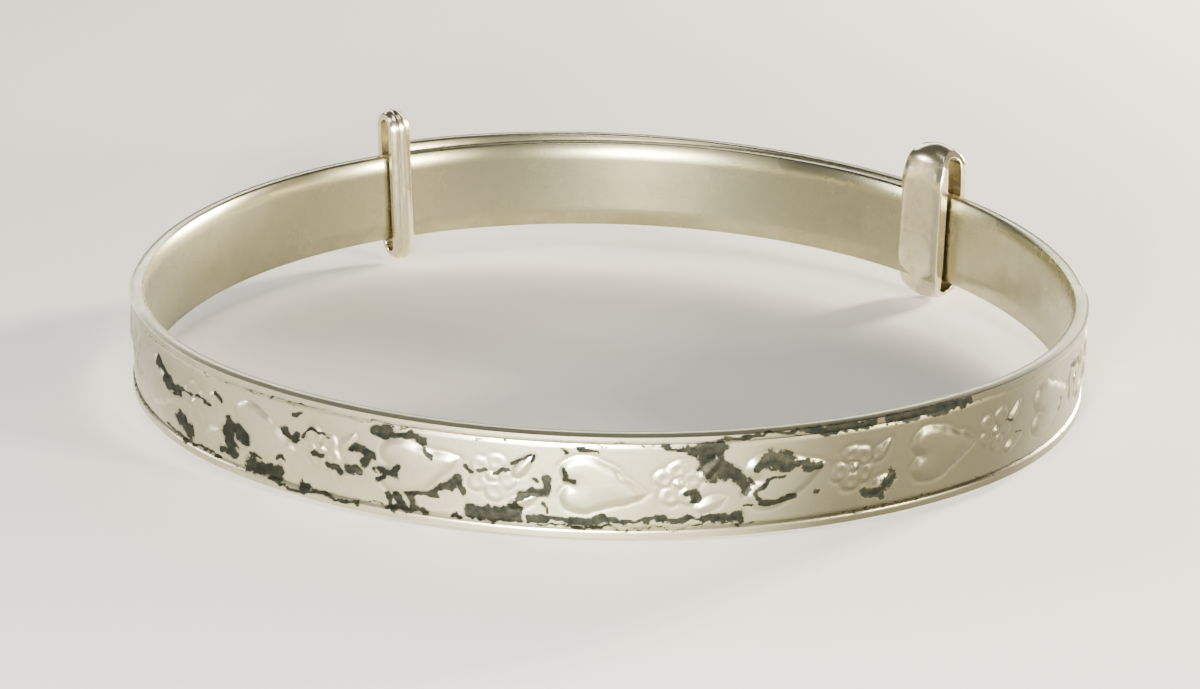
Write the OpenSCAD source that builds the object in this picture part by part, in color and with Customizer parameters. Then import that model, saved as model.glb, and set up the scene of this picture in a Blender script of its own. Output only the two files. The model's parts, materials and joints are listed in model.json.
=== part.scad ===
// Expanding bangle: one silver strip bent to a loop, its two ends lapped at the back.
// Each end carries a flat oval collar that the other end slides through.
// The strip is drawn as three lengths, joined by a fine round hinge at each side, so it can open.
// X runs across the loop, +Y to the back where the ends lap, +Z up. The origin is on the floor.

/* [Loop] */
// Width of the loop across the plain outer faces of its two sides
loop_w = 50; // [42:0.5:60]
// Depth of the front, from the widest point of the loop to the plain outer face
front_depth = 21.8; // [18:0.1:26]
// Direction, from the widest point, at which the side curve turns into the front curve
shoulder_a = 50; // [42:1:58]

/* [Strip] */
// Height of the strip
strip_h = 5.2; // [4:0.1:7]
// Thickness of the plain strip
strip_t = 0.65; // [0.5:0.05:0.9]
// Height of each raised rim along the front band
rim_h = 0.65; // [0.4:0.05:0.9]
// How far the rims stand out from the front band
rim_rise = 0.15; // [0.1:0.05:0.3]

/* [Collars] */
// Overall height of a collar
collar_h = 9.5; // [8.8:0.1:12]
// How far the middle of a collar sits above the middle of the strip
collar_lift = 0.7; // [0:0.1:0.9]
// Thickness of the collar's inner and outer bars
bar_t = 0.65; // [0.5:0.05:0.9]
// Thickness of the collar's arches, above and below the strip
arch_t = 0.8; // [0.5:0.05:1]
// Width of the left collar along the strip
left_collar_w = 1.3; // [1.1:0.1:3]
// Width of the right collar along the strip
right_collar_w = 3.2; // [2.6:0.1:5]
// Place of the left collar, round from the middle of the back
left_collar_a = 31; // [25:1:45]
// Place of the right collar, round from the middle of the back
right_collar_a = 50; // [40:1:60]

/* [Lapped ends] */
// Width of the bar left whole past the cut end of the strip, which is let into it
bar_show = 0.2; // [0.1:0.05:0.4]

/* [Fits and motion] */
// Gap between the two lapped strips, and between a strip and the bars it slides past
slip_gap = 0.2; // [0.2:0.05:0.4]
// Running clearance round each hinge
hinge_gap = 0.05; // [0.03:0.01:0.1]
// How far each hinge post lies under the two faces of the strip
post_inset = 0.03; // [0.02:0.01:0.1]
// How far each arm swings out from rest to fully open
open_a = 12; // [4:1:14]

/* [Hidden] */
$fn = 96;
past = 1;                                   // how far a cut runs past what it cuts

// The lapped arcs share one centre, half a pitch left of the middle, so both sides reach loop_w / 2
lap_pitch = strip_t + slip_gap;
outer_r = loop_w / 2 + lap_pitch / 2;       // outer face of the right strap
inner_r = outer_r - lap_pitch;              // outer face of the left strap
lap_x = -lap_pitch / 2;

// The front curve and the side curves meet tangentially in the direction shoulder_a
shoulder_c = cos(shoulder_a);
shoulder_s = sin(shoulder_a);
shoulder_d = 1 - shoulder_c - shoulder_s;
side_r = (loop_w / 2 * (1 - shoulder_s) - front_depth * shoulder_c) / shoulder_d;
front_r = (front_depth * (1 - shoulder_c) - loop_w / 2 * shoulder_s) / shoulder_d;

// Floor, and the middle of the loop's box from front to back
strip_z = (collar_h - strip_h) / 2 - collar_lift;
centre_y = (outer_r - front_depth - rim_rise) / 2;

// The hinges stand this far back of the widest points, which keeps the sliding arcs concentric
hinge_y = (sqrt(2) - 1) * loop_w / 2 * open_a * PI / 180;
left_hinge_a = asin(hinge_y / (inner_r - strip_t / 2));
right_hinge_a = asin(hinge_y / (outer_r - strip_t / 2));

// Turns a length along the lapped strips into an angle
function turn(l) = l / (outer_r - strip_t) * 180 / PI;
function polar(r, a) = [r * cos(a), r * sin(a)];

left_a = 90 + left_collar_a;
right_a = 90 - right_collar_a;
left_half = turn(left_collar_w) / 2;
right_half = turn(right_collar_w) / 2;
right_cut_a = right_a - right_half + turn(bar_show); // where the left strap ends
left_cut_a = left_a + left_half - turn(bar_show);    // where the right strap ends

// Points along a round stretch, without its first point where the stretch before ends there
facet_a = 2;
function arc(c, r, a0, a1, first = 0) =
    let (n = ceil(abs(a1 - a0) / facet_a))
    [for (i = [first : n]) c + polar(r, a0 + (a1 - a0) * i / n)];
function backwards(line) = [for (i = [len(line) - 1 : -1 : 0]) line[i]];

// Lines in plan, seen from above, at a depth d under the plain outer face of the strip
function band_line(d) = let (raised = d < 0)
    concat(
        arc([lap_x, 0], inner_r - max(d, 0), 180 - left_hinge_a, 180),
        arc([side_r - loop_w / 2, 0], side_r - d, 180, 180 + shoulder_a, raised ? 0 : 1),
        arc([0, front_r - front_depth], front_r - d, 180 + shoulder_a, 360 - shoulder_a, 1),
        arc([loop_w / 2 - side_r, 0], side_r - d, -shoulder_a, 0, 1),
        arc([lap_x, 0], outer_r - max(d, 0), 0, right_hinge_a, raised ? 0 : 1));
function left_line(d) = arc([0, 0], inner_r - d, right_cut_a, 180 - left_hinge_a);
function right_line(d) = arc([0, 0], outer_r - d, right_hinge_a, left_cut_a);

// Moves the lapped arcs' centre to its place in the part
module at_lap() translate([lap_x, -centre_y, strip_z]) children();

// Strip of height h standing between two lines in plan
module strip(outer, inner, h) linear_extrude(h) polygon(concat(outer, backwards(inner)));

// Upright round of radius post_r in the middle of the strip whose outer face is at r, in direction a
module hinge_round(r, a, post_r, over)
    translate(concat(polar(r - strip_t / 2, a), [-over]))
        cylinder(r = post_r, h = strip_h + 2 * over, $fn = 32);
module hinge_post(r, a) hinge_round(r, a, strip_t / 2 - post_inset, 0);
module hinge_seat(r, a) hinge_round(r, a, strip_t / 2 + hinge_gap, past);

// Upright outline with round ends, as wide as w, centred on r
module oval(r, w, h)
    translate([r, 0]) {
        translate([0, w / 2]) circle(d = w, $fn = 48);
        translate([0, h - w / 2]) circle(d = w, $fn = 48);
        translate([-w / 2, w / 2]) square([w, h - w]);
    }

// Collar round a strip whose outer face is at r, over the directions a0 to a1
module collar(r, a0, a1) {
    mid_r = r - strip_t / 2;
    slot_w = strip_t + 2 * slip_gap;
    translate([0, 0, -strip_z]) rotate([0, 0, a0]) rotate_extrude(angle = a1 - a0) difference() {
        oval(mid_r, slot_w + 2 * bar_t, collar_h);
        translate([0, arch_t]) oval(mid_r, slot_w, collar_h - 2 * arch_t);
    }
}

// Recess as high as the strip, between radii r0 and r1 and directions a0 and a1, that takes its end
module recess(r0, r1, a0, a1)
    rotate([0, 0, a0]) rotate_extrude(angle = a1 - a0) translate([r0, 0]) square([r1 - r0, strip_h]);

// Front of the strip, from hinge to hinge, with a raised rim along both edges of its outer face
module front_band()
    color("silver") translate([0, -centre_y, strip_z]) difference() {
        union() {
            strip(band_line(0), band_line(strip_t), strip_h);
            for (z = [0, strip_h - rim_h])
                translate([0, 0, z]) strip(band_line(-rim_rise), band_line(strip_t), rim_h);
        }
        translate([lap_x, 0, 0]) hinge_seat(outer_r, right_hinge_a);
        translate([lap_x, 0, 0]) hinge_seat(inner_r, 180 - left_hinge_a);
    }

// Left end of the strip: round the back inside the other end, and let into the right collar's inner bar
module left_strap()
    color("gainsboro") at_lap() {
        strip(left_line(0), left_line(strip_t), strip_h);
        hinge_post(inner_r, 180 - left_hinge_a);
    }

// Right end of the strip: round the back outside the other end, and let into the left collar's outer bar
module right_strap()
    color("lightgray") at_lap() {
        strip(right_line(0), right_line(strip_t), strip_h);
        hinge_post(outer_r, right_hinge_a);
    }

// Narrow collar on the end of the right strap, which its outer bar takes, round the left strap
module left_collar()
    color("darkgray") at_lap() difference() {
        collar(inner_r, left_a - left_half, left_a + left_half);
        recess(inner_r + slip_gap / 2, outer_r + bar_t + past, left_a - 2 * left_half, left_cut_a);
    }

// Wide collar on the end of the left strap, which its inner bar takes, round the right strap
module right_collar()
    color("darkgray") at_lap() difference() {
        collar(outer_r, right_a - right_half, right_a + right_half);
        recess(inner_r - bar_t - strip_t - past, inner_r + slip_gap / 2, right_cut_a, right_a + 2 * right_half);
    }

front_band();
left_strap();
right_strap();
left_collar();
right_collar();
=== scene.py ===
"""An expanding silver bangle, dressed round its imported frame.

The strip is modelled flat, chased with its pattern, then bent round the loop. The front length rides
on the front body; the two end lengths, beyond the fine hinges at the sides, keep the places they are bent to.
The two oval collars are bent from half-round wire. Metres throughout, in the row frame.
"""

import json
import logging
import math
from collections.abc import Callable
from dataclasses import dataclass
from enum import Enum

import bmesh
import bpy
import numpy as np
from mathutils import Matrix, Vector

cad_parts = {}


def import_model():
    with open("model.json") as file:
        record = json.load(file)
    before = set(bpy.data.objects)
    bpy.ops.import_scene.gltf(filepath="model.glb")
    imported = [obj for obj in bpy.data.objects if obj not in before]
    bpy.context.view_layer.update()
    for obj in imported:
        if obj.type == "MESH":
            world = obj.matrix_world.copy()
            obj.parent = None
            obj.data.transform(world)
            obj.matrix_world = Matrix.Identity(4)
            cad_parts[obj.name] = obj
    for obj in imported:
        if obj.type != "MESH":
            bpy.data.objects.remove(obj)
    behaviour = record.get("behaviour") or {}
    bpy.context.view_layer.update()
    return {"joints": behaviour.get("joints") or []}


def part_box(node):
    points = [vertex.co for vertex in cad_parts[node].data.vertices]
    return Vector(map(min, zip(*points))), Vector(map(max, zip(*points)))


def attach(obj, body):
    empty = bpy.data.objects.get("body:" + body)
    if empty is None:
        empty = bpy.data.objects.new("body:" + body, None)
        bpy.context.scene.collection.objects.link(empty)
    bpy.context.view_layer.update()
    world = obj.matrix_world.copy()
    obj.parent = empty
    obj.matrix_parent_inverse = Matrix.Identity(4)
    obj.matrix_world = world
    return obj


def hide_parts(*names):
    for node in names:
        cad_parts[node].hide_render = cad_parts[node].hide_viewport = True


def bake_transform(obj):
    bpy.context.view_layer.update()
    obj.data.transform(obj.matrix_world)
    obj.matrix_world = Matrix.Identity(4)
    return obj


MM = 0.001
FLAT_MAP = "flat"
# One unit of the flat map, in millimetres
MAP_UNIT_MM = 10.0
# Share of the strip's thickness within which a vertex counts as lying on a face
FACE_SLACK = 0.01
# Inputs that set a mapped range's limits, and the setting that eases it
RANGE_INPUTS = ("From Min", "From Max", "To Min", "To Max")
EASED = {"interpolation_type": "SMOOTHSTEP"}
LOG = logging.getLogger("bangle")


# ---------------------------------------------------------------- helpers


def deselect() -> None:
    """Leaves nothing selected and no object in edit mode."""
    if bpy.context.object and bpy.context.object.mode != "OBJECT":
        bpy.ops.object.mode_set(mode="OBJECT")
    bpy.ops.object.select_all(action="DESELECT")


def make_active(obj: bpy.types.Object) -> None:
    """Selects one object alone and makes it the active one.

    Args:
        obj: the object to work on.
    """
    deselect()
    obj.select_set(True)
    bpy.context.view_layer.objects.active = obj


def vertex_array(obj: bpy.types.Object) -> np.ndarray:
    """Reads a mesh's vertex positions.

    Args:
        obj: a mesh object in object mode.

    Returns:
        An array of one row of x, y, z for each vertex, in metres.
    """
    flat = np.empty(len(obj.data.vertices) * 3)
    obj.data.vertices.foreach_get("co", flat)
    return flat.reshape(-1, 3)


def write_vertices(obj: bpy.types.Object, points: np.ndarray) -> None:
    """Moves a mesh's vertices.

    Args:
        obj: a mesh object in object mode.
        points: one row of x, y, z for each vertex, in metres.
    """
    obj.data.vertices.foreach_set("co", points.ravel())
    obj.data.update()


def select_where(obj: bpy.types.Object, kind: str, test: Callable[[Vector], bool]) -> None:
    """Selects the edges or faces of a mesh in edit mode whose vertices all pass a test.

    Args:
        obj: the object in edit mode.
        kind: "edges" or "faces".
        test: a function from a vertex position to True or False.
    """
    bm = bmesh.from_edit_mesh(obj.data)
    for item in (*bm.verts, *bm.edges, *bm.faces):
        item.select = False
    for item in getattr(bm, kind):
        if all(test(v.co) for v in item.verts):
            item.select_set(True)
    bmesh.update_edit_mesh(obj.data)


def smooth(x: np.ndarray, low: float, high: float) -> np.ndarray:
    """Eases from 0 at low to 1 at high.

    Args:
        x: values to ease.
        low: where the result leaves 0.
        high: where it reaches 1.

    Returns:
        Values from 0 to 1.
    """
    t = np.clip((x - low) / (high - low), 0.0, 1.0)
    return t * t * (3.0 - 2.0 * t)


def drift(s: np.ndarray, z: np.ndarray, size: float, seed: int) -> np.ndarray:
    """A slowly wandering value over the flat strip.

    Args:
        s: distances along the strip.
        z: heights on the strip.
        size: distance over which the value changes, in the same unit.
        seed: chooses one such pattern.

    Returns:
        Values from -1 to 1.
    """
    rows, columns = 64, 256
    lattice = np.random.default_rng(seed).uniform(-1, 1, (rows, columns))
    u, v = s / size, z / size
    i, j = np.floor(u).astype(int), np.floor(v).astype(int)
    fu, fv = u - i, v - j
    fu, fv = fu * fu * (3 - 2 * fu), fv * fv * (3 - 2 * fv)
    i0, i1, j0, j1 = i % columns, (i + 1) % columns, j % rows, (j + 1) % rows
    low = lattice[j0, i0] * (1 - fu) + lattice[j0, i1] * fu
    high = lattice[j1, i0] * (1 - fu) + lattice[j1, i1] * fu
    return low * (1 - fv) + high * fv


def lay_map(obj: bpy.types.Object, along: np.ndarray, across: np.ndarray) -> None:
    """Gives a piece a UV map of its metal laid flat, one unit to a centimetre.

    Args:
        obj: a mesh object in object mode.
        along: distance of each vertex along the metal, in metres.
        across: its distance across the metal.
    """
    for layer in list(obj.data.uv_layers):
        obj.data.uv_layers.remove(layer)
    layer = obj.data.uv_layers.new(name=FLAT_MAP)
    index = np.empty(len(obj.data.loops), int)
    obj.data.loops.foreach_get("vertex_index", index)
    uv = np.stack([along[index], across[index]], 1) / (MAP_UNIT_MM * MM)
    layer.data.foreach_set("uv", uv.ravel())


def linear_colour(hex_code: str) -> tuple[float, float, float, float]:
    """Turns an sRGB hex colour into the linear values a shader takes.

    Args:
        hex_code: six hex digits, such as "C8C3AF".

    Returns:
        Red, green, blue and alpha.
    """
    parts = [int(hex_code[i : i + 2], 16) / 255 for i in (0, 2, 4)]
    lin = [p / 12.92 if p <= 0.04045 else ((p + 0.055) / 1.055) ** 2.4 for p in parts]
    return lin[0], lin[1], lin[2], 1.0


# ---------------------------------------------------------------- plan of the loop


@dataclass(frozen=True)
class LoopPlan:
    """The loop seen from above: its sizes in metres, and the lines its strips follow.

    A line is followed anticlockwise, so the inside of the loop is always on its left.
    """

    half_width: float
    front_depth: float
    hinge_y: float
    widest_y: float
    strip_z: float
    strip_h: float
    strip_t: float = 0.65 * MM
    slip_gap: float = 0.20 * MM
    bar_t: float = 0.65 * MM
    rim_rise: float = 0.15 * MM
    bare_edge: float = 0.2 * MM
    shoulder: float = math.radians(50)

    @classmethod
    def from_frame(cls, joints: list[dict]) -> "LoopPlan":
        """Reads the loop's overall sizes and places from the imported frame.

        Args:
            joints: the frame's joints.

        Returns:
            The plan.
        """
        low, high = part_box("front_band")
        hinge_y = next(joint["pos_m"][1] for joint in joints if joint["name"] == "left_hinge")
        half_width = high.x - cls.rim_rise
        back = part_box("right_strap")[1].y
        outer_r = half_width + (cls.strip_t + cls.slip_gap) / 2
        widest_y = back - outer_r
        return cls(
            half_width=half_width,
            front_depth=widest_y - low.y - cls.rim_rise,
            hinge_y=hinge_y,
            widest_y=widest_y,
            strip_z=low.z,
            strip_h=high.z - low.z,
        )

    @property
    def lap_pitch(self) -> float:
        """Distance from one lapped strip's outer face to the other's."""
        return self.strip_t + self.slip_gap

    @property
    def outer_r(self) -> float:
        """Radius of the outer lapped strip's outer face."""
        return self.half_width + self.lap_pitch / 2

    @property
    def inner_r(self) -> float:
        """Radius of the inner lapped strip's outer face."""
        return self.outer_r - self.lap_pitch

    @property
    def lap_centre(self) -> tuple[float, float]:
        """Shared centre of the two lapped strips."""
        return -self.lap_pitch / 2, self.widest_y

    def curve_radii(self) -> tuple[float, float]:
        """Works out the two curves of the front, which meet tangentially at the shoulder.

        Returns:
            Radii of the side curve and of the front curve.
        """
        c, s = math.cos(self.shoulder), math.sin(self.shoulder)
        d = 1 - c - s
        side = (self.half_width * (1 - s) - self.front_depth * c) / d
        front = (self.front_depth * (1 - c) - self.half_width * s) / d
        return side, front

    def half_front(self) -> float:
        """Length along the front strip's outer face from the middle of the front to one side."""
        side, front = self.curve_radii()
        return front * (math.pi / 2 - self.shoulder) + side * self.shoulder

    def turn(self, length: float) -> float:
        """Turns a length along the lapped strips into an angle in radians."""
        return length / (self.outer_r - self.strip_t)

    def front_line(self, count: int = 1400) -> list[tuple[float, float]]:
        """Points along the front strip's outer face, from the left side to the right.

        Args:
            count: how many points.

        Returns:
            Points in plan, evenly spaced.
        """
        side, front = self.curve_radii()
        reach = self.half_front()
        front_part = front * (math.pi / 2 - self.shoulder)
        points = []
        for i in range(count):
            s = -reach + 2 * reach * i / (count - 1)
            a, sign = abs(s), math.copysign(1.0, s)
            if a <= front_part:
                t = a / front
                x, y = front * math.sin(t), front - self.front_depth - front * math.cos(t)
            else:
                u = math.pi / 2 - self.shoulder + (a - front_part) / side
                x, y = self.half_width - side + side * math.sin(u), -side * math.cos(u)
            points.append((sign * x, self.widest_y + y))
        return points

    def lap_line(self, radius: float, a0: float, a1: float,
                 count: int = 900) -> list[tuple[float, float]]:
        """Points along a lapped strip's outer face.

        Args:
            radius: radius of the outer face.
            a0: direction in which the line starts.
            a1: direction in which it ends.
            count: how many points.

        Returns:
            Points in plan.
        """
        cx, cy = self.lap_centre
        return [(cx + radius * math.cos(a), cy + radius * math.sin(a)) for a in np.linspace(a0, a1, count)]


# ---------------------------------------------------------------- the pattern


class Motif(Enum):
    """The shapes that repeat along the front."""

    HEART = "heart"
    BLOSSOM = "blossom"
    LEAF = "leaf"


@dataclass(frozen=True)
class Placed:
    """One motif set on the flat strip, in millimetres from the middle of the front and the lower edge."""

    kind: Motif
    s: float
    z: float
    length: float
    height: float
    lean: float = 0.0
    sweep: float = 0.0
    strength: float = 1.0


@dataclass(frozen=True)
class DarkStroke:
    """A dark stroke on the flat strip, in millimetres, from one end to the other: sulphide, except along the
    upper rim, where it is painted shade.
    """

    s0: float
    z0: float
    s1: float
    z1: float
    width: float


@dataclass(frozen=True)
class Pattern:
    """Hearts, blossoms and leaves pressed along the front between two rims. Sizes in millimetres.

    One row of the pattern is a heart, a blossom and two leaves. The hearts' points sweep up or down.
    """

    pitch: float = 8.65
    first_heart: float = -0.1
    heart_length: float = 4.1
    heart_height: float = 2.85
    middle_z: float = 2.7
    sweeps: tuple[float, ...] = (0.1, -0.2, -0.4, 0.8, -0.45, 0.5, 0.1, 0.2, 0.1)
    blossom_size: float = 2.35
    blossom_after: float = 3.45
    blossom_z: float = 2.8
    blossom_turn: float = 0.4
    worn_row: int = -1
    worn_strength: float = 0.55
    lower_rim: float = 0.55
    upper_rim: float = 0.48
    rim_rise: float = 0.085
    rim_slope: float = 0.13
    groove_inset: float = 0.03
    groove_half: float = 0.055
    groove_depth: float = 0.06
    dome: float = 0.15
    wall: float = 0.38
    crown_reach: float = 1.3
    line_half: float = 0.10
    line_depth: float = 0.022
    line_outside: float = 0.05
    cup_depth: float = 0.10
    wander: float = 0.07
    wander_size: float = 0.45
    fade_from: float = 1.6
    fade_to: float = 0.2
    # Each leaf's distance after the heart, height on the strip, length, width and lean
    leaves: tuple[tuple[float, ...], ...] = ((4.95, 3.45, 1.35, 0.6, 0.85), (5.0, 1.75, 1.5, 0.65, 0.4))

    def motifs(self) -> list[Placed]:
        """Sets out the pattern.

        Returns:
            Every motif along the strip, from left to right.
        """
        placed = []
        last = len(self.sweeps) - 1
        for i, sweep in enumerate(self.sweeps):
            row = i - len(self.sweeps) // 2
            s = self.first_heart + self.pitch * row
            placed.append(Placed(Motif.HEART, s, self.middle_z, self.heart_length, self.heart_height,
                                 sweep=sweep))
            if i < last:
                strength = self.worn_strength if row == self.worn_row else 1.0
                placed.append(Placed(Motif.BLOSSOM, s + self.blossom_after, self.blossom_z,
                                     self.blossom_size, self.blossom_size,
                                     lean=self.blossom_turn * row, strength=strength))
                for after, z, length, height, lean in self.leaves:
                    placed.append(Placed(Motif.LEAF, s + after, z, length, height, lean=lean))
        return placed

    def dark_strokes(self) -> list[DarkStroke]:
        """Sets out the dark strokes: sulphide, thickest round the motifs near the middle and along the lower
        rim, and painted shade along the upper rim right of the middle.

        Returns:
            Its strokes.
        """
        strokes = [
            # left shoulder
            (-26.3, 4.0, -25.0, 3.3, 0.17), (-25.1, 3.2, -24.2, 2.9, 0.24), (-24.2, 3.2, -22.6, 3.25, 0.06),
            (-22.3, 3.2, -21.2, 3.1, 0.07), (-24.0, 1.5, -22.9, 1.1, 0.26), (-25.5, 0.75, -20.5, 0.55, 0.06),
            (-20.8, 3.8, -20.4, 3.6, 0.09), (-19.8, 2.6, -18.5, 2.3, 0.25), (-19.9, 2.2, -19.6, 1.2, 0.28),
            (-20.4, 1.1, -19.4, 1.1, 0.17), (-18.2, 0.9, -16.4, 0.9, 0.30), (-18.1, 1.5, -17.9, 1.5, 0.09),
            (-16.6, 1.75, -16.1, 1.7, 0.10), (-15.2, 0.75, -14.8, 0.6, 0.17),
            (-17.0, 0.45, -12.0, 0.42, 0.05),
            (-16.05, 3.4, -15.6, 2.85, 0.15), (-15.6, 2.85, -15.3, 3.25, 0.15),
            (-15.0, 3.1, -14.4, 3.65, 0.05), (-14.4, 3.65, -13.5, 3.4, 0.05), (-15.4, 4.25, -14.9, 4.3, 0.05),
            (-14.4, 2.5, -13.8, 2.5, 0.10), (-13.5, 2.1, -12.9, 1.8, 0.12), (-12.4, 2.1, -11.9, 2.0, 0.14),
            # round the heart left of the middle
            (-12.2, 3.3, -11.3, 3.0, 0.18), (-11.4, 3.0, -11.6, 2.4, 0.14), (-11.3, 4.35, -8.4, 4.25, 0.13),
            (-10.6, 4.5, -8.8, 4.4, 0.08), (-8.7, 4.1, -8.1, 3.5, 0.07), (-10.8, 2.4, -10.1, 2.35, 0.18),
            (-10.1, 2.4, -9.9, 2.65, 0.12), (-10.5, 2.0, -10.8, 1.8, 0.08), (-10.4, 1.2, -10.1, 0.5, 0.13),
            (-9.9, 1.2, -9.4, 0.6, 0.16), (-9.2, 1.3, -8.8, 0.7, 0.14), (-10.5, 0.6, -9.0, 0.6, 0.08),
            (-9.0, 1.4, -8.0, 1.5, 0.11), (-8.0, 1.6, -7.3, 2.1, 0.11), (-7.3, 2.05, -6.95, 2.5, 0.17),
            (-6.9, 2.4, -6.6, 1.8, 0.15), (-8.6, 0.6, -8.2, 0.55, 0.10), (-7.1, 0.7, -6.8, 0.65, 0.11),
            # round the middle
            (-6.5, 3.2, -6.35, 3.0, 0.11), (-6.0, 3.2, -5.6, 3.3, 0.06), (-5.3, 3.0, -4.3, 3.15, 0.06),
            (-4.1, 3.5, -3.7, 3.9, 0.08), (-3.45, 3.9, -3.4, 3.6, 0.06), (-3.35, 2.9, -3.2, 2.8, 0.07),
            (-2.75, 3.0, -2.7, 2.2, 0.15), (-3.9, 1.9, -3.0, 2.2, 0.19), (-4.1, 1.6, -3.9, 1.0, 0.11),
            (-6.2, 0.95, -4.0, 1.15, 0.24), (-5.8, 0.75, -4.0, 0.75, 0.13), (-2.9, 1.6, -2.8, 1.2, 0.08),
            (-3.5, 0.8, -2.0, 0.95, 0.11), (-1.8, 0.85, 0.4, 0.95, 0.14), (-1.6, 0.62, 0.2, 0.6, 0.06),
            (-2.0, 3.5, -1.8, 2.9, 0.11), (-1.8, 2.9, -1.4, 2.8, 0.09), (-2.05, 4.4, -1.9, 4.35, 0.09),
            (-1.3, 4.4, -0.3, 4.35, 0.06), (0.6, 0.95, 5.0, 0.95, 0.07), (1.9, 0.9, 2.1, 0.9, 0.12),
            (2.6, 0.95, 2.9, 0.95, 0.12), (3.5, 0.95, 3.8, 0.95, 0.12), (4.5, 0.9, 4.9, 0.95, 0.15),
            (5.1, 0.9, 6.3, 0.95, 0.21), (6.6, 1.5, 6.7, 1.5, 0.07), (4.0, 2.3, 4.15, 1.9, 0.18),
            # between the blossom and the heart right of the middle
            (2.7, 4.55, 4.0, 4.5, 0.08), (4.0, 4.45, 5.4, 4.5, 0.24), (4.6, 4.2, 4.9, 3.5, 0.42),
            (5.0, 3.45, 5.6, 3.3, 0.30), (5.4, 4.1, 5.6, 3.6, 0.16), (5.9, 3.2, 6.4, 2.5, 0.26),
            (6.7, 2.85, 6.9, 2.75, 0.10), (7.1, 3.3, 7.5, 3.85, 0.15), (7.5, 3.75, 8.6, 3.6, 0.30),
            (8.5, 3.5, 10.2, 3.2, 0.19), (7.1, 2.3, 7.6, 2.7, 0.12), (7.6, 2.7, 8.3, 2.85, 0.07),
            (7.0, 2.1, 7.2, 1.6, 0.08), (7.2, 1.55, 8.8, 1.75, 0.10), (10.0, 1.95, 10.2, 1.95, 0.08),
            (12.6, 1.3, 13.5, 1.2, 0.20), (13.4, 1.3, 14.1, 2.0, 0.24),
            # painted shade along the upper rim, and sulphide on the right shoulder
            (5.5, 5.0, 9.5, 5.0, 0.07), (9.7, 4.95, 11.5, 4.95, 0.19), (11.9, 4.95, 12.9, 4.95, 0.19),
            (13.8, 4.93, 15.3, 4.93, 0.24), (15.6, 4.93, 17.6, 4.93, 0.24),
            (18.0, 4.95, 18.4, 4.95, 0.20),
            (21.5, 3.2, 22.1, 3.0, 0.06), (22.3, 2.3, 22.8, 2.2, 0.06), (26.7, 2.6, 27.0, 2.2, 0.09),
            (28.6, 3.9, 30.2, 3.6, 0.11),
        ]
        return [DarkStroke(*stroke) for stroke in strokes]

    def heart_outline(self, placed: Placed) -> np.ndarray:
        """Outline of a heart lying on its side, with its point to the right.

        Args:
            placed: the heart's place and size.

        Returns:
            Points in millimetres on the flat strip.
        """
        notch, shoulder = math.radians(238.4), math.radians(62)
        a = np.linspace(notch, shoulder, 26)
        centre, radius = np.array([-0.44, 0.46]), 0.54
        lobe = centre + radius * np.stack([np.cos(a), np.sin(a)], 1)
        t = np.linspace(0, 1, 16)[1:, None]
        bend, point = np.array([0.45, 0.60]), np.array([1.0, 0.0])
        side = lobe[-1] * (1 - t) ** 2 + bend * 2 * t * (1 - t) + point * t * t
        upper = np.concatenate([lobe, side])
        lower = upper[-2:0:-1] * np.array([1.0, -1.0])
        u, v = np.concatenate([upper, lower]).T
        v = v * placed.height / 2 + placed.sweep * smooth(u, -0.2, 1.0) ** 1.5
        u = u * placed.length / 2
        return np.stack([placed.s + u, placed.z + v], 1)

    @staticmethod
    def distance_to(points: np.ndarray, outline: np.ndarray) -> np.ndarray:
        """Signed distance from points to a closed outline, negative inside.

        Args:
            points: one row of s, z for each point.
            outline: the outline's corners.

        Returns:
            One distance for each point, in millimetres.
        """
        best = np.full(len(points), 1e9)
        inside = np.zeros(len(points), bool)
        for a, b in zip(outline, np.roll(outline, -1, 0)):
            edge = b - a
            rel = points - a
            t = np.clip(rel @ edge / (edge @ edge), 0, 1)
            best = np.minimum(best, np.hypot(*(rel - t[:, None] * edge).T))
            crosses = (a[1] > points[:, 1]) != (b[1] > points[:, 1])
            if a[1] != b[1]:
                x_at = a[0] + (points[:, 1] - a[1]) * edge[0] / edge[1]
                inside ^= crosses & (points[:, 0] < x_at)
        return np.where(inside, -best, best)

    def pressed(self, distance: np.ndarray, dome: float) -> np.ndarray:
        """Height of a pressed shape: a low pillow inside, with a fine cut line round it.

        Args:
            distance: signed distance to the shape's outline, in millimetres.
            dome: height of the pillow.

        Returns:
            Heights in millimetres.
        """
        wall = smooth(-distance, 0.0, self.wall)
        crown = np.clip(-distance / self.crown_reach, 0, 1)
        pillow = dome * (0.5 * wall + 0.5 * np.sqrt(1 - (1 - crown) ** 2))
        line = -self.line_depth * np.exp(-((distance - self.line_outside) / self.line_half) ** 2)
        return pillow + line

    def blossom(self, points: np.ndarray, placed: Placed) -> np.ndarray:
        """Height of a blossom: five cupped petals, no two quite alike, round a raised eye.

        Args:
            points: one row of s, z for each point.
            placed: the blossom's place and size.

        Returns:
            Heights in millimetres.
        """
        rel = points - np.array([placed.s, placed.z])
        ring, petal, eye = 0.30 * placed.length, 0.205 * placed.length, 0.12 * placed.length
        height = np.zeros(len(points))
        nearest = np.full(len(points), np.inf)
        for i in range(5):
            a = placed.lean + math.pi / 2 + i * 2 * math.pi / 5 + 0.13 * math.sin(2.1 * i + placed.s)
            reach = ring * (1 + 0.10 * math.sin(1.7 * i + placed.s))
            d = np.hypot(*(rel - reach * np.array([math.cos(a), math.sin(a)])).T) - petal
            cup = self.pressed(d, self.dome * 0.9) - self.cup_depth * smooth(-d, petal * 0.15, petal * 0.9)
            height = np.where(d < nearest, cup, height)
            nearest = np.minimum(nearest, d)
        from_eye = np.hypot(*rel.T) - eye
        return np.where(from_eye < 0.06, self.pressed(from_eye, self.dome * 1.1), height)

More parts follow.
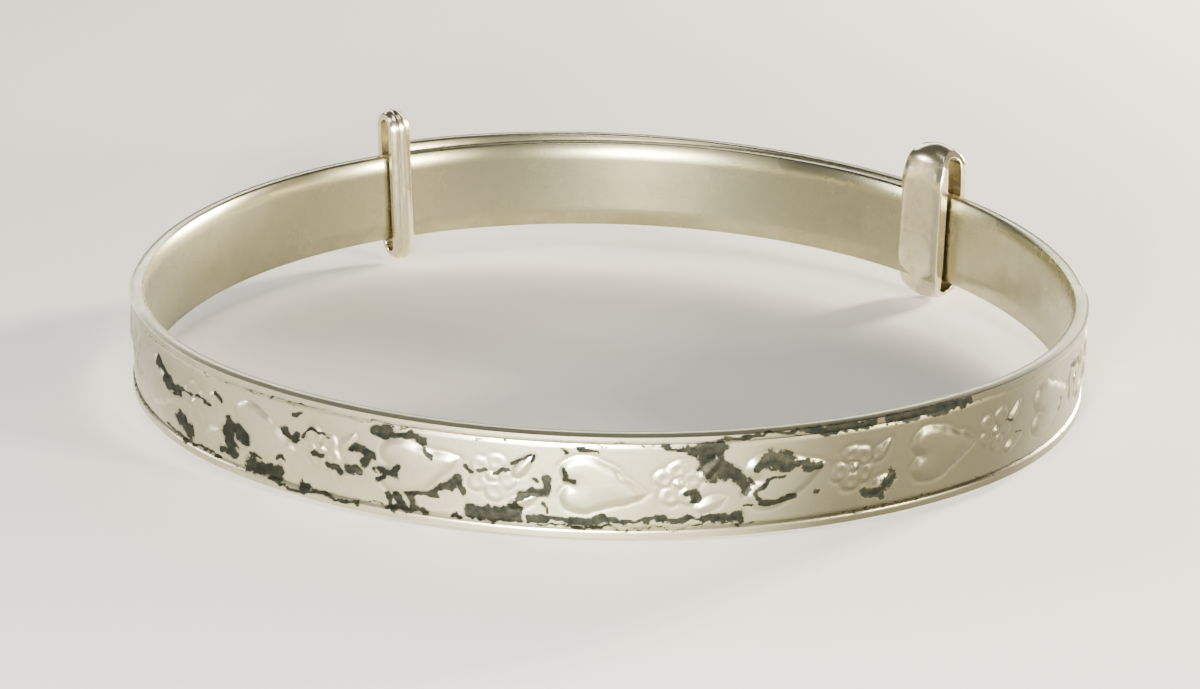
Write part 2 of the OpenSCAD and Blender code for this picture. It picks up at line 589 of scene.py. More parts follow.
    def leaf_outline(self, placed: Placed) -> np.ndarray:
        """Outline of a small pointed leaf.

        Args:
            placed: the leaf's place, size and lean.

        Returns:
            Points in millimetres on the flat strip.
        """
        t = np.linspace(0, 2 * math.pi, 28, endpoint=False)
        u = np.cos(t) * placed.length / 2
        v = np.sin(t) * placed.height / 2 * (1 - 0.35 * np.cos(t))
        c, s = math.cos(placed.lean), math.sin(placed.lean)
        return np.stack([placed.s + c * u - s * v, placed.z + s * u + c * v], 1)

    def relief(self, s: np.ndarray, z: np.ndarray, strip_h: float, reach: float) -> np.ndarray:
        """Height of the pressed face over the plain strip.

        Args:
            s: distances from the middle of the front, in millimetres.
            z: heights above the strip's lower edge.
            strip_h: height of the strip.
            reach: distance from the middle at which the pattern has faded out.

        Returns:
            Heights in millimetres.
        """
        fade = 1 - smooth(np.abs(s), reach - self.fade_from, reach - self.fade_to)
        upper = strip_h - self.upper_rim
        between = (smooth(z, self.lower_rim - self.rim_slope, self.lower_rim)
                   * (1 - smooth(z, upper, upper + self.rim_slope)))
        height = self.rim_rise * (1 - between)
        for edge in (self.lower_rim + self.groove_inset, upper - self.groove_inset):
            height = height - self.groove_depth * np.exp(-((z - edge) / self.groove_half) ** 2)
        unsteady = np.stack([drift(s, z, self.wander_size, seed) for seed in (17, 19)], 1)
        points = np.stack([s, z], 1) + self.wander * unsteady
        for placed in self.motifs():
            near = np.abs(s - placed.s) < placed.length * 0.75
            if not near.any():
                continue
            local = points[near]
            if placed.kind is Motif.HEART:
                rise = self.pressed(self.distance_to(local, self.heart_outline(placed)), self.dome)
            elif placed.kind is Motif.BLOSSOM:
                rise = self.blossom(local, placed)
            else:
                rise = self.pressed(self.distance_to(local, self.leaf_outline(placed)), self.dome * 0.9)
            height[near] += rise * placed.strength
        return height * fade

    def tarnish(self, s: np.ndarray, z: np.ndarray, strip_h: float) -> np.ndarray:
        """How dark each place on the front is: sulphide, and painted shade along the upper rim.

        Args:
            s: distances from the middle of the front, in millimetres.
            z: heights above the strip's lower edge.
            strip_h: height of the strip.

        Returns:
            Values from 0, clean, to 1, black.
        """
        stain_and_shade = np.zeros(len(s))
        s = s + 0.20 * drift(s, z, 0.70, 3) + 0.09 * drift(s, z, 0.26, 5)
        z = z + 0.16 * drift(s, z, 0.65, 7) + 0.09 * drift(s, z, 0.24, 11)
        for edge in (self.lower_rim, strip_h - self.upper_rim):
            line = 0.52 * np.exp(-((z - edge) / 0.07) ** 2) * (0.75 + 0.4 * drift(s, z, 2.6, 13))
            stain_and_shade = np.maximum(stain_and_shade, line)
        margin, tiny = 1.2, 1e-9
        # The strokes along the upper rim paint shade; the others are sulphide
        for stroke in self.dark_strokes():
            near = np.abs(s - (stroke.s0 + stroke.s1) / 2) < abs(stroke.s1 - stroke.s0) / 2 + margin
            along = np.array([stroke.s1 - stroke.s0, stroke.z1 - stroke.z0])
            rel = np.stack([s[near] - stroke.s0, z[near] - stroke.z0], 1)
            t = np.clip(rel @ along / max(along @ along, tiny), 0, 1)
            d = np.hypot(*(rel - t[:, None] * along).T)
            strength = 1 - smooth(d, stroke.width * 0.2, stroke.width * 2.3)
            stain_and_shade[near] = np.maximum(stain_and_shade[near], strength)
        return stain_and_shade

    @staticmethod
    def film(s: np.ndarray) -> np.ndarray:
        """How dark and olive each place on the front is: partly a thin brown film, partly painted shade that
        makes the right of the front darker, as if less light fell there.

        Args:
            s: distances from the middle of the front, in millimetres.

        Returns:
            Values from 0, bright silver, to 1.
        """
        # Brown film with painted shade: darker towards the right, easing at the right end, a little at the
        # left end
        right, right_end = 0.9 * smooth(s, 1.5, 13.0), 0.25 * smooth(s, 20.0, 27.0)
        left_end = 0.2 * smooth(-s, 15.0, 24.0)
        return right - right_end + left_end


# ---------------------------------------------------------------- finishes


def add_node(tree: bpy.types.NodeTree, kind: str, settings: dict | None = None,
             links: dict | None = None) -> bpy.types.Node:
    """Adds a shader node with its settings and links.

    Args:
        tree: the material's node tree.
        kind: the node's type name.
        settings: attribute names, or input names or numbers, with their values. "stops" gives a colour
            ramp's positions with their sRGB hex colours, and "range" a mapped range's four limits.
        links: input names or numbers with the sockets that feed them.

    Returns:
        The new node.
    """
    node = tree.nodes.new(kind)
    for key, value in (settings or {}).items():
        if key == "stops":
            elements = node.color_ramp.elements
            while len(elements) < len(value):
                elements.new(0.5)
            for element, (position, colour) in zip(elements, value):
                element.position = position
                element.color = linear_colour(colour)
        elif key == "range":
            for name, limit in zip(RANGE_INPUTS, value):
                node.inputs[name].default_value = limit
        elif isinstance(key, str) and hasattr(node, key):
            setattr(node, key, value)
        else:
            node.inputs[key].default_value = value
    for key, socket in (links or {}).items():
        tree.links.new(socket, node.inputs[key])
    return node


@dataclass(frozen=True)
class SilverFinish:
    """Sterling silver: its colours, polish, sulphide, painted shade and the evenness of its surface.

    Patterns run along the strip on its own UV map, in which one unit is one centimetre.
    """

    name: str
    light: str
    film: str
    warm: str
    roughness: float
    roughness_spread: float
    cloud_mm: float
    dent_mm: float
    dent_strength: float
    scratch_strength: float
    # Whether sulphide, a brown film and painted shade are laid over it from the strip's attributes
    stained_and_shaded: bool = False
    # Blacks of the sulphide, also used for the painted shade along the upper rim
    oxide_and_shade: tuple[str, str] = ("0E1311", "25251D")
    halo: str = "6E694D"
    film_and_shade_tone: str = "504E3E"
    # Dark olive tone of the brown film and of the painted shade on the right of the front
    grain_mm: float = 0.35
    scratch_mm: float = 5 / 3
    scratch_stretch: float = 26.0
    ragged_mm: float = 0.42
    patch_mm: float = 1.3
    dent_depth_mm: float = 0.05
    scratch_depth_mm: float = 0.010
    grain_depth_mm: float = 0.012

    def build(self) -> bpy.types.Material:
        """Builds the material.

        Returns:
            A new material with a procedural node tree.
        """
        mat = bpy.data.materials.new(self.name)
        mat.use_nodes = True
        tree = mat.node_tree
        tree.nodes.clear()
        uv = add_node(tree, "ShaderNodeUVMap", {"uv_map": FLAT_MAP}).outputs["UV"]
        clouds = {"Scale": MAP_UNIT_MM / self.cloud_mm, "Detail": 5.0, "Roughness": 0.62}
        cloud = add_node(tree, "ShaderNodeTexNoise", clouds, {"Vector": uv}).outputs["Fac"]
        grain = {"Scale": MAP_UNIT_MM / self.grain_mm, "Detail": 4.0, "Roughness": 0.6}
        fine = add_node(tree, "ShaderNodeTexNoise", grain, {"Vector": uv}).outputs["Fac"]
        tones = {"stops": [(0.30, self.warm), (0.50, self.film), (0.68, self.light)]}
        colour = add_node(tree, "ShaderNodeValToRGB", tones, {"Fac": cloud}).outputs["Color"]
        dullest, glossiest = self.roughness + self.roughness_spread, self.roughness - self.roughness_spread
        rough = add_node(tree, "ShaderNodeMapRange", {**EASED, "range": (0.3, 0.7, dullest, glossiest)},
                         {"Value": cloud}).outputs["Result"]
        surface = {"Base Color": colour, "Roughness": rough}
        # Sulphide, and painted shade on the right of the front and along the upper rim
        if self.stained_and_shaded:
            surface = self.add_tarnish_and_shade(tree, uv, fine, colour, rough)
        surface["Normal"] = self.add_bump(tree, uv, fine)
        shader = add_node(tree, "ShaderNodeBsdfPrincipled", {"Metallic": 1.0}, surface)
        add_node(tree, "ShaderNodeOutputMaterial", links={"Surface": shader.outputs["BSDF"]})
        return mat

    def add_bump(self, tree: bpy.types.NodeTree, uv: bpy.types.NodeSocket,
                 fine: bpy.types.NodeSocket) -> bpy.types.NodeSocket:
        """Adds the uneven, finely scratched surface. The scratches run along the metal.

        Args:
            tree: the material's node tree.
            uv: the metal's own coordinates.
            fine: a fine noise.

        Returns:
            The normal's socket.
        """
        dented = {"Scale": MAP_UNIT_MM / self.dent_mm, "Detail": 2.0, "Roughness": 0.5}
        dents = add_node(tree, "ShaderNodeTexNoise", dented, {"Vector": uv}).outputs["Fac"]
        stretched = add_node(tree, "ShaderNodeMapping", {"Scale": (1.0, self.scratch_stretch, 1.0)},
                             {"Vector": uv}).outputs["Vector"]
        scratched = {"Scale": MAP_UNIT_MM / self.scratch_mm, "Detail": 6.0, "Roughness": 0.7}
        scratches = add_node(tree, "ShaderNodeTexNoise", scratched, {"Vector": stretched}).outputs["Fac"]
        below = {}
        for height, strength, depth_mm in ((dents, self.dent_strength, self.dent_depth_mm),
                                           (scratches, self.scratch_strength, self.scratch_depth_mm),
                                           (fine, self.scratch_strength, self.grain_depth_mm)):
            bump = add_node(tree, "ShaderNodeBump", {"Strength": strength, "Distance": depth_mm * MM},
                            {"Height": height, **below})
            below = {"Normal": bump.outputs["Normal"]}
        return below["Normal"]

    def add_tarnish_and_shade(self, tree: bpy.types.NodeTree, uv: bpy.types.NodeSocket, fine: bpy.types.NodeSocket,
                   colour: bpy.types.NodeSocket,
                   rough: bpy.types.NodeSocket) -> dict[str, bpy.types.NodeSocket]:
        """Lays a brown film with painted shade on the right of the front, and dark sulphide with painted
        shade along the upper rim, over the silver, where the strip's attributes say.

        Args:
            tree: the material's node tree.
            uv: the strip's own coordinates.
            fine: a fine noise, which mottles the sulphide.
            colour: the clean silver's colour.
            rough: the clean silver's roughness.

        Returns:
            The shader's colour, roughness and metallic inputs with the sockets that feed them.
        """
        # Sulphide strokes, with painted shade along the upper rim
        stain_and_shade = add_node(tree, "ShaderNodeAttribute", {"attribute_name": "tarnish"}).outputs["Fac"]
        # Brown film, with painted shade darkening the right of the front
        film = add_node(tree, "ShaderNodeAttribute", {"attribute_name": "film"}).outputs["Fac"]
        frayed = {"Scale": MAP_UNIT_MM / self.ragged_mm, "Detail": 7.0, "Roughness": 0.72}
        ragged = add_node(tree, "ShaderNodeTexNoise", frayed, {"Vector": uv}).outputs["Fac"]
        patched = {"Scale": MAP_UNIT_MM / self.patch_mm, "Detail": 6.0, "Roughness": 0.75}
        patchy = add_node(tree, "ShaderNodeTexNoise", patched, {"Vector": uv}).outputs["Fac"]
        gate = add_node(tree, "ShaderNodeMapRange", {**EASED, "range": (0.02, 0.30, 0.0, 2.6)},
                        {"Value": stain_and_shade}).outputs["Result"]
        centred = add_node(tree, "ShaderNodeMath", {"operation": "SUBTRACT", 1: 0.5}, {0: ragged}).outputs[0]
        broken = add_node(tree, "ShaderNodeMath", {"operation": "MULTIPLY_ADD"},
                          {0: centred, 1: gate, 2: stain_and_shade}).outputs[0]
        cover = add_node(tree, "ShaderNodeMapRange", {**EASED, "range": (0.34, 0.58, 0.96, 1.0)},
                         {"Value": patchy}).outputs["Result"]
        edge = add_node(tree, "ShaderNodeMapRange", {**EASED, "range": (0.30, 0.52, 0.0, 1.0)},
                        {"Value": broken}).outputs["Result"]
        mask = add_node(tree, "ShaderNodeMath", {"operation": "MULTIPLY"}, {0: edge, 1: cover}).outputs[0]
        # Painted shade and brown film: the film attribute pulls the silver towards one dark olive tone
        thickness = add_node(tree, "ShaderNodeMapRange", {**EASED, "range": (0.0, 1.0, 0.0, 0.97)},
                             {"Value": film}).outputs["Result"]
        filmed_and_shaded = add_node(tree, "ShaderNodeMix", {"data_type": "RGBA", 7: linear_colour(self.film_and_shade_tone)},
                          {"Factor": thickness, 6: colour}).outputs[2]
        around = add_node(tree, "ShaderNodeMapRange", {**EASED, "range": (0.02, 0.5, 0.0, 0.6)},
                          {"Value": stain_and_shade}).outputs["Result"]
        haloed = add_node(tree, "ShaderNodeMix", {"data_type": "RGBA", 7: linear_colour(self.halo)},
                          {"Factor": around, 6: filmed_and_shaded}).outputs[2]
        # Sulphide blacks, which also paint the shade along the upper rim
        blacks = {"stops": [(0.35, self.oxide_and_shade[0]), (0.65, self.oxide_and_shade[1])]}
        dark = add_node(tree, "ShaderNodeValToRGB", blacks, {"Fac": fine}).outputs["Color"]
        stained_and_shaded = add_node(tree, "ShaderNodeMix", {"data_type": "RGBA"}, {"Factor": mask, 6: haloed, 7: dark})
        matt = add_node(tree, "ShaderNodeMapRange", {"To Max": 0.6}, {"Value": mask, "To Min": rough})
        metal = add_node(tree, "ShaderNodeMapRange", {**EASED, "range": (0.0, 1.0, 1.0, 0.95)},
                         {"Value": mask})
        return {"Base Color": stained_and_shaded.outputs[2], "Roughness": matt.outputs["Result"],
                "Metallic": metal.outputs["Result"]}


# Rolled and pressed sterling silver, polished on its high spots: cream white, softly glossy, with dark
# sulphide in the lows, painted shade along the upper rim, and a thin brown film with painted shade over its
# right half
PRESSED_SILVER = SilverFinish("die_pressed_silver", "C2BFA8", "B0AD92", "9E9A7C", 0.34, 0.04,
                              6.0, 2.2, 0.40, 0.35, stained_and_shaded=True)
# Rolled sterling silver strip under a thin sulphide film: olive beige, clouded, softly glossy; darker than
# the pressed front, partly the film, partly painted shade of the loop's inner faces
SHADED_ROLLED_SILVER = SilverFinish("rolled_silver_strip", "B0AC90", "9C987B", "858063", 0.27, 0.05,
                             9.0, 5.0, 0.30, 0.22)
# Drawn half-round silver wire, burnished: brighter and sharper reflections than the strip
DRAWN_SILVER = SilverFinish("drawn_silver_wire", "DAD2B8", "CDC4A6", "AFA584", 0.24, 0.05,
                            1.6, 1.2, 0.35, 0.25)


# ---------------------------------------------------------------- the strip


@dataclass
class Strip:
    """A length of flat silver strip: modelled flat, chased, then bent round a line in plan.

    Flat, its outer face lies at y = 0 and faces -y, its thickness runs to +y, and x runs along it.
    """

    name: str
    plan: LoopPlan
    line: list[tuple[float, float]]
    columns: int
    rows: int
    body: str
    nodes: tuple[str, ...]
    material: bpy.types.Material
    slot: str
    pattern: Pattern | None = None
    back_material: bpy.types.Material | None = None
    round_start: bool = False
    round_end: bool = False
    lift: float = 0.0
    lift_from: float = 0.35
    edge_round: float = 0.10 * MM
    end_round: float = 0.55 * MM
    edge_stretch: float = 1.7
    back_cuts: int = 4
    blend_before: float = 2.1 * MM
    blend_after: float = 11.0 * MM

    def length(self) -> float:
        """Length of the line that the strip follows."""
        pts = np.array(self.line)
        return float(np.hypot(*np.diff(pts, axis=0).T).sum())

    def blank(self) -> bpy.types.Object:
        """Rolls the flat strip: a fine grid for its outer face, with its edges turned back and joined.

        Returns:
            The flat strip, a closed mesh.
        """
        length, height, depth = self.length(), self.plan.strip_h, self.plan.strip_t
        deselect()
        bpy.ops.mesh.primitive_grid_add(x_subdivisions=self.columns, y_subdivisions=self.rows, size=1,
                                        rotation=(math.pi / 2, 0, 0))
        obj = bpy.context.object
        obj.name = self.name
        obj.dimensions = (length, height, 0)
        bpy.ops.object.transform_apply(location=True, rotation=True, scale=True)
        bpy.ops.object.mode_set(mode="EDIT")
        bpy.ops.mesh.select_all(action="SELECT")
        bpy.ops.transform.translate(value=(length / 2, 0, height / 2))
        bpy.ops.mesh.select_mode(type="EDGE")
        tiny = height / self.rows / 4
        for y0, y1 in ((0.0, self.edge_round), (self.edge_round, depth - self.edge_round),
                       (depth - self.edge_round, depth)):
            select_where(obj, "edges", lambda co, y=y0: abs(co.y - y) < tiny
                         and (co.z < tiny or co.z > height - tiny))
            bpy.ops.mesh.extrude_region_move(TRANSFORM_OT_translate={"value": (0, y1 - y0, 0)})
        select_where(obj, "edges", lambda co: abs(co.y - depth) < tiny
                     and (co.z < tiny or co.z > height - tiny))
        bpy.ops.mesh.bridge_edge_loops(number_cuts=self.back_cuts)
        for x in (0.0, length):
            select_where(obj, "edges", lambda co, at=x: abs(co.x - at) < tiny)
            bpy.ops.mesh.select_mode(type="EDGE")
            self.keep_boundary(obj)
            bpy.ops.mesh.edge_face_add()
        bpy.ops.mesh.select_all(action="SELECT")
        bpy.ops.mesh.normals_make_consistent(inside=False)
        bpy.ops.object.mode_set(mode="OBJECT")
        return obj

    @staticmethod
    def keep_boundary(obj: bpy.types.Object) -> None:
        """Deselects every selected edge that isn't open.

        Args:
            obj: the object in edit mode.
        """
        bm = bmesh.from_edit_mesh(obj.data)
        for e in bm.edges:
            if e.select and not e.is_boundary:
                e.select = False
        bm.select_flush_mode()
        bmesh.update_edit_mesh(obj.data)

    def shape(self, obj: bpy.types.Object) -> None:
        """Rounds the strip's edges and cut ends, lays its own coordinates on it and chases the pattern.

        Args:
            obj: the flat strip.
        """
        length, height, depth = self.length(), self.plan.strip_h, self.plan.strip_t
        co = vertex_array(obj)
        s, y, z = co[:, 0].copy(), co[:, 1].copy(), co[:, 2].copy()
        lay_map(obj, s, z + y * self.edge_stretch)
        outer, back = y < depth * FACE_SLACK, y > depth * (1 - FACE_SLACK)
        r = self.edge_round
        from_edge = np.minimum(z, height - z)
        bite = r - np.sqrt(np.clip(r * r - np.clip(r - from_edge, 0, r) ** 2, 0, None))
        relief = np.zeros(len(s))
        if self.pattern:
            reach = length / 2 / MM
            place = (s[outer] / MM - reach, z[outer] / MM, height / MM)
            relief[outer] = self.pattern.relief(*place, reach) * MM
            # Dark strokes: sulphide, with painted shade along the upper rim
            stain_and_shade = np.zeros(len(s))
            stain_and_shade[outer] = self.pattern.tarnish(*place)
            # Brown film, with painted shade darkening the right of the front
            film = np.where(outer, self.pattern.film(s / MM - reach), 0.0)
            for name, values in (("tarnish", stain_and_shade), ("film", film)):
                obj.data.attributes.new(name, "FLOAT", "POINT").data.foreach_set("value", values)
        co[outer, 1] = (bite - relief)[outer]
        edge_reach, edge_turn = r * 0.2, 0.9
        at_edge = from_edge < edge_reach
        pull = np.where(z < height / 2, 1.0, -1.0)
        co[:, 2] += np.where((outer | back) & at_edge, pull * r * edge_turn, 0.0)
        co[outer & at_edge, 1] -= (bite - relief)[outer & at_edge] * edge_turn
        corner = self.end_round
        for wanted, distance in ((self.round_start, s), (self.round_end, length - s)):
            if wanted:
                into = np.clip(corner - distance, 0, corner)
                inset = corner - np.sqrt(np.clip(corner**2 - into**2, 0, None))
                co[:, 2] = height / 2 + (co[:, 2] - height / 2) * (1 - 2 * inset / height)
        write_vertices(obj, co)

    def faces_on_back(self, obj: bpy.types.Object) -> np.ndarray:
        """Tells which faces lie on the strip's plain inner face or its rounded edges, while still flat.

        Args:
            obj: the flat strip.

        Returns:
            1 for each such face, and 0 for the rest.
        """
        centres = np.empty(len(obj.data.polygons) * 3)
        obj.data.polygons.foreach_get("center", centres)
        inner_from = self.plan.strip_t * 0.9
        return (centres.reshape(-1, 3)[:, 1] > inner_from).astype(np.int32)

    def bend(self, obj: bpy.types.Object) -> None:
        """Bends the flat strip round its line, and lifts its far end if it has a lift.

        Args:
            obj: the flat, chased strip.
        """
        curve = bpy.data.curves.new(self.name + "_line", "CURVE")
        curve.dimensions = "3D"
        curve.twist_mode = "Z_UP"
        spline = curve.splines.new("POLY")
        spline.points.add(len(self.line) - 1)
        for point, (x, y) in zip(spline.points, self.line):
            point.co = (x, y, 0.0, 1.0)
        guide = bpy.data.objects.new(self.name + "_line", curve)
        bpy.context.collection.objects.link(guide)
        co = vertex_array(obj)
        length = self.length()
        rise = self.lift * smooth(co[:, 0] / length, self.lift_from, 1.0)
        co[:, 2] += self.plan.strip_z + rise
        write_vertices(obj, co)
        make_active(obj)
        modifier = obj.modifiers.new("bend", "CURVE")
        modifier.object = guide
        modifier.deform_axis = "POS_X"
        bpy.ops.object.modifier_apply(modifier=modifier.name)
        bpy.data.objects.remove(guide)
        bpy.data.curves.remove(curve)

    def build(self) -> bpy.types.Object:
        """Models, chases, bends and dresses the strip, and puts the front length on its body.

        Returns:
            The finished piece.
        """
        obj = self.blank()
        self.shape(obj)
        on_back = self.faces_on_back(obj)
        self.bend(obj)
        make_active(obj)
        bpy.ops.object.shade_smooth_by_angle(angle=math.radians(50))
        obj.data.materials.clear()
        obj.data.materials.append(self.material)
        if self.back_material:
            obj.data.materials.append(self.back_material)
            obj.data.polygons.foreach_set("material_index", on_back)
            obj.data.update()
        self.attach(obj)
        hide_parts(*self.nodes)
        LOG.info("%s: %d faces", self.name, len(obj.data.polygons))
        return obj

    def attach(self, obj: bpy.types.Object) -> None:
        """Puts the front length on the front body; an end length only has its place baked into its mesh.

        Args:
            obj: the finished strip.
        """
        if self.body == "front":
            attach(obj, "front")
            return
        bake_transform(obj)


# ---------------------------------------------------------------- the collars


@dataclass
class Collar:
    """A collar bent from half-round wire to an upright oval round the lapped strips."""

    name: str
    plan: LoopPlan
    node: str
    body: str
    radius: float
    direction: float
    width: float
    material: bpy.types.Material
    lean: float = 0.0
    pinch: float = 0.45
    edge_share: float = 0.62
    crown_share: float = 0.92
    groove: float = 0.0
    seat: float = 0.0
    seat_flat: float = 1.18
    corner: float = 0.10 * MM
    groove_at: float = 0.12
    groove_half: float = 0.2
    tip_from: float = 0.62
    seat_from: float = 0.62
    seat_to: float = 0.72
    arc_steps: int = 20
    profile_steps: int = 20
    straight_steps: int = 8

    def profile(self) -> list[tuple[float, float]]:
        """Sets out the half-round section of the wire.

        Returns:
            Points round it: how far across the wire's width, and how far out from its flat inner face.
        """
        half, corner = self.width / 2, self.corner
        edge, crown = self.edge_share * self.plan.bar_t, self.crown_share * self.plan.bar_t
        side = [(-half + corner, 0.0), (-half + corner / 2, 0.0), (-half, corner / 2), (-half, corner),
                (-half, edge - corner), (-half, edge - corner / 2), (-half + corner / 2, edge)]
        points = list(side)
        for i in range(self.profile_steps + 1):
            t = -1 + 2 * i / self.profile_steps
            groove = self.groove * math.exp(-((t - self.groove_at) / self.groove_half) ** 2)
            points.append((t * (half - corner), edge + (crown - edge) * (1 - t * t) - groove))
        return points + [(-across, out) for across, out in reversed(side)]

    def bent_wire(self) -> bpy.types.Object:
        """Bends the wire by spinning its section round the two arches, and joins it straight between.

        Returns:
            The oval, lying square to the axes.
        """
        low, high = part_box(self.node)
        slot_half = self.plan.strip_t / 2 + self.plan.slip_gap
        arch = slot_half + self.plan.bar_t
        top_z, low_z = high.z - arch, low.z + arch
        deselect()
        bpy.ops.mesh.primitive_circle_add(vertices=len(self.profile()), radius=1 * MM, fill_type="NOTHING")
        obj = bpy.context.object
        obj.name = self.name
        section = [(slot_half + out, across, low_z) for across, out in self.profile()]
        write_vertices(obj, np.array(section))
        bpy.ops.object.mode_set(mode="EDIT")
        bpy.ops.mesh.select_mode(type="VERT")
        bpy.ops.mesh.select_all(action="SELECT")
        step = (top_z - low_z) / self.straight_steps
        for rise, arch_z in ((step, top_z), (-step, low_z)):
            for _ in range(self.straight_steps):
                bpy.ops.mesh.extrude_region_move(TRANSFORM_OT_translate={"value": (0, 0, rise)})
            bpy.ops.mesh.spin(steps=self.arc_steps, angle=math.pi, center=(0, 0, arch_z), axis=(0, 1, 0))
        bpy.ops.mesh.select_all(action="SELECT")
        bpy.ops.mesh.remove_doubles(threshold=0.004 * MM)
        bpy.ops.mesh.normals_make_consistent(inside=False)
        bpy.ops.object.mode_set(mode="OBJECT")
        return obj

    def build(self) -> bpy.types.Object:
        """Bends, places and dresses the collar, and puts it on its body.

        Returns:
            The finished piece.
        """
        obj = self.bent_wire()
        co = vertex_array(obj)
        lay_map(obj, co[:, 2] + co[:, 0], co[:, 1])
        self.place(obj)
        make_active(obj)
        modifier = obj.modifiers.new("soften", "SUBSURF")
        modifier.levels = 2
        modifier.render_levels = 2
        bpy.ops.object.modifier_apply(modifier=modifier.name)
        bpy.ops.object.shade_smooth()
        obj.data.materials.clear()
        obj.data.materials.append(self.material)
        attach(obj, self.body)
        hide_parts(self.node)
        LOG.info("%s: %d faces", self.name, len(obj.data.polygons))
        return obj

    def place(self, obj: bpy.types.Object) -> None:
        """Turns the collar to face along the strip and sets it in its place.

        Args:
            obj: the collar, centred on its slot.
        """
        cx, cy = self.plan.lap_centre
        mid = self.radius - self.plan.strip_t / 2
        c, s = math.cos(self.direction), math.sin(self.direction)
        co = vertex_array(obj)
        middle = (co[:, 2].max() + co[:, 2].min()) / 2
        height = co[:, 2] - middle
        reach = np.abs(height) / np.abs(height).max()
        toward_tip = np.clip((reach - self.tip_from) / (1 - self.tip_from), 0, 1)
        along = co[:, 1] * (1 - self.pinch * toward_tip**2) + self.lean * height
        if self.seat:
            face = self.plan.strip_t / 2 + self.plan.slip_gap
            depth = -co[:, 0] - face
            swollen = np.minimum(depth * (1 + self.seat), self.seat_flat * self.plan.bar_t)
            share = 1 - smooth(np.abs(height), self.seat_from * height.max(), self.seat_to * height.max())
            deeper = np.where(depth > 0, depth + (swollen - depth) * share, depth)
            co[:, 0] = -deeper - face
        out = co[:, 0] + mid
        co[:, 0] = cx + out * c - along * s
        co[:, 1] = cy + out * s + along * c
        write_vertices(obj, co)


# ---------------------------------------------------------------- the assembly


@dataclass
class Bangle:
    """The whole bangle: three lengths of strip and two collars."""

    plan: LoopPlan
    left_collar_a: float = math.radians(90 + 31)
    right_collar_a: float = math.radians(90 - 50)
    left_collar_w: float = 1.3 * MM
    right_collar_w: float = 3.2 * MM

    def build(self) -> list[bpy.types.Object]:
        """Builds every piece.

        Returns:
            The finished pieces.
        """
        # The arms' darker silver, also on the front's inner face, is partly painted shade of the loop's inner
        # faces
        pressed, shaded_rolled, drawn = PRESSED_SILVER.build(), SHADED_ROLLED_SILVER.build(), DRAWN_SILVER.build()
        plan = self.plan
        turn = plan.turn
        cut = self.right_collar_a - turn(self.right_collar_w / 2 - plan.bare_edge)
        left_line = plan.lap_line(plan.inner_r, cut, math.pi)
        out_cut = self.left_collar_a + turn(self.left_collar_w / 2 - plan.bare_edge)
        right_line = plan.lap_line(plan.outer_r, 0.0, out_cut)
        return [
            Strip("front_strip", plan, plan.front_line(), columns=920, rows=65, body="front",
                  nodes=("front_band",), material=pressed, slot="patterned_silver", pattern=Pattern(),
                  back_material=shaded_rolled).build(),
            Strip("left_strip", plan, left_line, columns=240, rows=16, body="left_arm",
                  nodes=("left_strap",), material=shaded_rolled, slot="plain_silver").build(),
            Strip("right_strip", plan, right_line, columns=220, rows=16, body="right_arm",
                  nodes=("right_strap",), material=shaded_rolled, slot="plain_silver",
                  round_end=True, lift=0.4 * MM).build(),
            Collar("left_keeper", plan, "left_collar", "right_arm", plan.inner_r, self.left_collar_a,
                   self.left_collar_w, drawn, lean=0.035, pinch=0.2, groove=0.10 * MM).build(),
            Collar("right_keeper", plan, "right_collar", "left_arm", plan.outer_r, self.right_collar_a,
                   self.right_collar_w, drawn, seat=0.65).build(),
        ]


# ---------------------------------------------------------------- the studio


@dataclass(frozen=True)
class Lamp:
    """A soft rectangular light aimed at the bangle: its place and size in metres, power and colour."""

    name: str
    place: tuple[float, float, float]
    size: tuple[float, float]
    watts: float
    colour: str
    aim: tuple[float, float, float] = (0, 0, 0.003)

    def add(self) -> None:
        """Adds the light to the scene."""
        data = bpy.data.lights.new(self.name, "AREA")
        data.shape = "RECTANGLE"
        data.size, data.size_y = self.size
        data.energy = self.watts
        data.color = linear_colour(self.colour)[:3]
        lamp = bpy.data.objects.new(self.name, data)
        lamp.location = self.place
        lamp.rotation_euler = (Vector(self.aim) - Vector(self.place)).to_track_quat("-Z", "Y").to_euler()
        bpy.context.collection.objects.link(lamp)


# Small low lights give the metal its highlights; the long low one lights the top edges from behind
LAMPS = (
    Lamp("front", (-0.030, -0.165, 0.030), (0.026, 0.022), 2.0, "FFFBF2"),
    Lamp("right", (0.20, 0.17, 0.045), (0.040, 0.036), 4.6, "FFF3DC"),
    Lamp("side", (0.21, -0.13, 0.055), (0.036, 0.036), 2.1, "FFF3DE"),
    Lamp("back", (0.0, 0.45, 0.19), (0.60, 0.12), 1.4, "FFFDF8"),
    Lamp("left", (-0.26, 0.02, 0.07), (0.06, 0.06), 0.5, "FFFFFF"),
    Lamp("overhead", (-0.05, -0.12, 0.42), (0.20, 0.20), 1.0, "FFFDF8"),
)


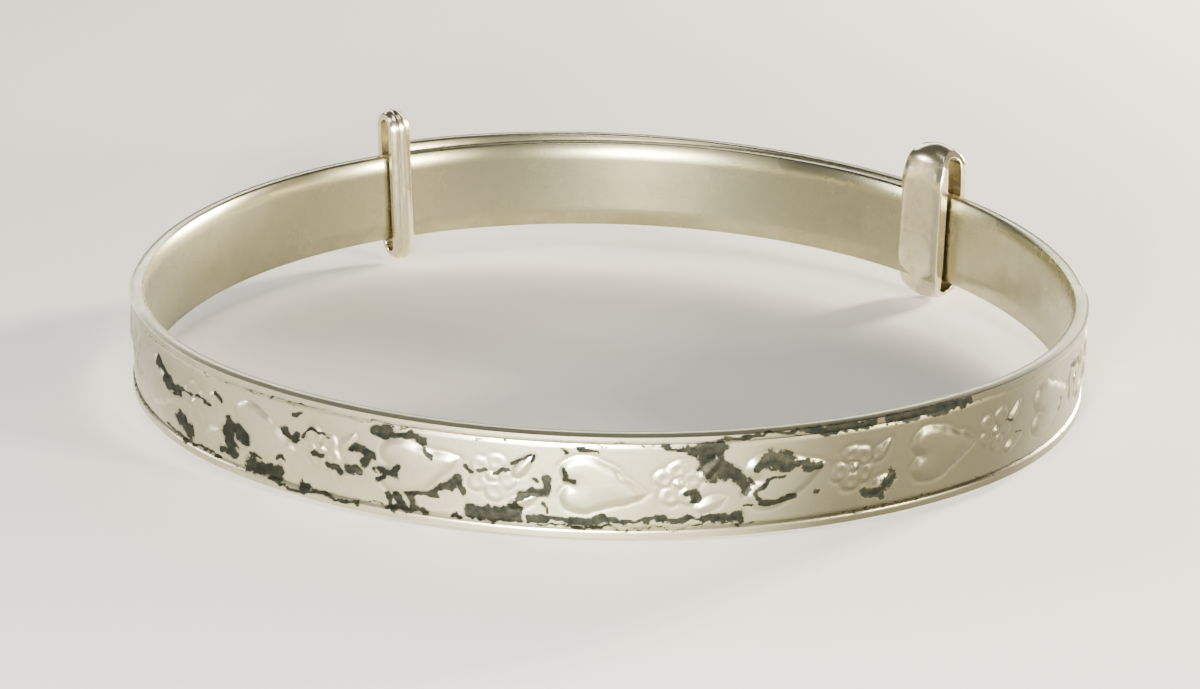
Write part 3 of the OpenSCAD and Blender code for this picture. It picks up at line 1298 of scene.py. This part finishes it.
@dataclass(frozen=True)
class Studio:
    """Plain pale floor, soft lights, a grey surround and the camera."""

    plan: LoopPlan
    floor_size: float = 3.0
    floor_gap: float = 0.02 * MM
    floor_colour: str = "D0CEC8"
    floor_roughness: float = 0.75
    surround_colour: str = "5C5B57"
    surround_strength: float = 0.95
    sensor_mm: float = 36.0
    lens_mm: float = 84.2
    camera_back: float = 139.63 * MM
    camera_up: float = 54.79 * MM
    aim_x: float = -0.42 * MM
    aim_up: float = 1.27 * MM
    roll: float = 0.020

    def floor(self) -> None:
        """Lays a pale floor just under the front edge and the collars' lowest points."""
        deselect()
        bpy.ops.mesh.primitive_plane_add(size=self.floor_size)
        floor = bpy.context.object
        floor.name = "floor"
        front_y = self.plan.widest_y - self.plan.front_depth
        collar_y = (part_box("left_collar")[0].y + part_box("right_collar")[0].y) / 2
        slope = -self.plan.strip_z / (collar_y - front_y)
        co = vertex_array(floor)
        co[:, 2] = self.plan.strip_z + (co[:, 1] - front_y) * slope - self.floor_gap
        write_vertices(floor, co)
        mat = bpy.data.materials.new("studio_floor")
        mat.use_nodes = True
        shader = mat.node_tree.nodes["Principled BSDF"]
        shader.inputs["Base Color"].default_value = linear_colour(self.floor_colour)
        shader.inputs["Roughness"].default_value = self.floor_roughness
        floor.data.materials.append(mat)

    def lights(self) -> None:
        """Sets the lights and the grey surround that the metal reflects."""
        for lamp in LAMPS:
            lamp.add()
        world = bpy.data.worlds.new("surround")
        world.use_nodes = True
        background = world.node_tree.nodes["Background"]
        background.inputs["Color"].default_value = linear_colour(self.surround_colour)
        background.inputs["Strength"].default_value = self.surround_strength
        bpy.context.scene.world = world

    def camera(self) -> None:
        """Stands the camera in front of the bangle, a little above it, looking at its middle."""
        data = bpy.data.cameras.new("camera")
        data.sensor_width = self.sensor_mm
        data.lens = self.lens_mm
        camera = bpy.data.objects.new("camera", data)
        bpy.context.collection.objects.link(camera)
        place = Vector((0.0, self.plan.widest_y - self.camera_back, self.plan.strip_z + self.camera_up))
        aim = Vector((self.aim_x, self.plan.widest_y, self.plan.strip_z + self.aim_up))
        turn = (aim - place).to_track_quat("-Z", "Y").to_matrix().to_4x4()
        camera.matrix_world = Matrix.Translation(place) @ turn @ Matrix.Rotation(self.roll, 4, "Z")
        bpy.context.scene.camera = camera

    def build(self) -> None:
        """Builds the studio."""
        self.floor()
        self.lights()
        self.camera()


def main() -> None:
    """Loads the frame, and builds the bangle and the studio."""
    logging.basicConfig(level=logging.INFO, format="%(message)s")
    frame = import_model()
    plan = LoopPlan.from_frame(frame["joints"])
    Studio(plan).build()
    pieces = Bangle(plan).build()
    LOG.info("%d pieces", len(pieces))


if __name__ == "__main__":
    main()
